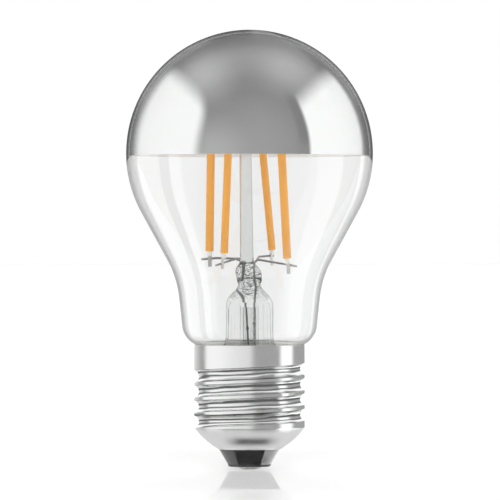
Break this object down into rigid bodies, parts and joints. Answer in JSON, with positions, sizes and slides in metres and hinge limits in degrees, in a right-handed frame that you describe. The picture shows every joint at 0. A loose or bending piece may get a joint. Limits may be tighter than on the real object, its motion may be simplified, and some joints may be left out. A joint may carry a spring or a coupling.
{
  "type": "led bulb",
  "caption": "Pear-shaped clear led filament bulb with a silvered mirror crown and an E27 screw cap; upright filaments stand round a glass stem.",
  "frame": {"origin": "lowest point of the centre contact, on the bulb's axis", "axes": "+Z along the bulb's axis from the contact to the silvered crown; -Y is the side that the picture shows"},
  "size_m": [0.059, 0.059, 0.105],
  "materials": {
    "clear_glass": "clear blown soda-lime glass",
    "silver_mirror": "silver coat seen through the glass",
    "cap_metal": "satin, rolled",
    "black_glass": "glossy black vitreous insulator",
    "contact_metal": "tinned, satin",
    "phosphor": "yellow phosphor silicone, translucent",
    "carrier_strip": "pale ceramic strip",
    "light_chips": "bare crystal chips",
    "nickel_wire": "nickel-plated wire and tab",
    "copper_wire": "bare copper",
    "cement": "matt capping cement",
    "board_laminate": "glass-fibre laminate",
    "black_package": "moulded package",
    "capacitor_can": "sleeved can",
    "resistor_body": "lacquered"
  },
  "bodies": {
    "root": {"glass_bulb": "clear_glass", "stem_glass": "clear_glass", "exhaust_tube": "clear_glass", "centre_rod": "clear_glass", "mirror_coating": "silver_mirror", "cap_shell": "cap_metal", "insulator": "black_glass", "centre_contact": "contact_metal", "filament_1_phosphor": "phosphor", "filament_2_phosphor": "phosphor", "filament_3_phosphor": "phosphor", "filament_4_phosphor": "phosphor", "filament_1_carrier": "carrier_strip", "filament_2_carrier": "carrier_strip", "filament_3_carrier": "carrier_strip", "filament_4_carrier": "carrier_strip", "filament_1_chips": "light_chips", "filament_2_chips": "light_chips", "filament_3_chips": "light_chips", "filament_4_chips": "light_chips", "filament_1_lower_tab": "nickel_wire", "filament_1_upper_tab": "nickel_wire", "filament_2_lower_tab": "nickel_wire", "filament_2_upper_tab": "nickel_wire", "filament_3_lower_tab": "nickel_wire", "filament_3_upper_tab": "nickel_wire", "filament_4_lower_tab": "nickel_wire", "filament_4_upper_tab": "nickel_wire", "lead_wire_left": "nickel_wire", "lead_wire_right": "nickel_wire", "branch_wire_back": "nickel_wire", "branch_wire_front": "nickel_wire", "link_wire_back": "nickel_wire", "link_wire_front": "nickel_wire", "live_wire": "copper_wire", "shell_wire": "copper_wire", "cement_ring": "cement", "driver_board": "board_laminate", "rectifier": "black_package", "driver_chip": "black_package", "sense_resistors": "black_package", "capacitor": "capacitor_can", "fuse_resistor": "resistor_body"}
  },
  "joints": []
}
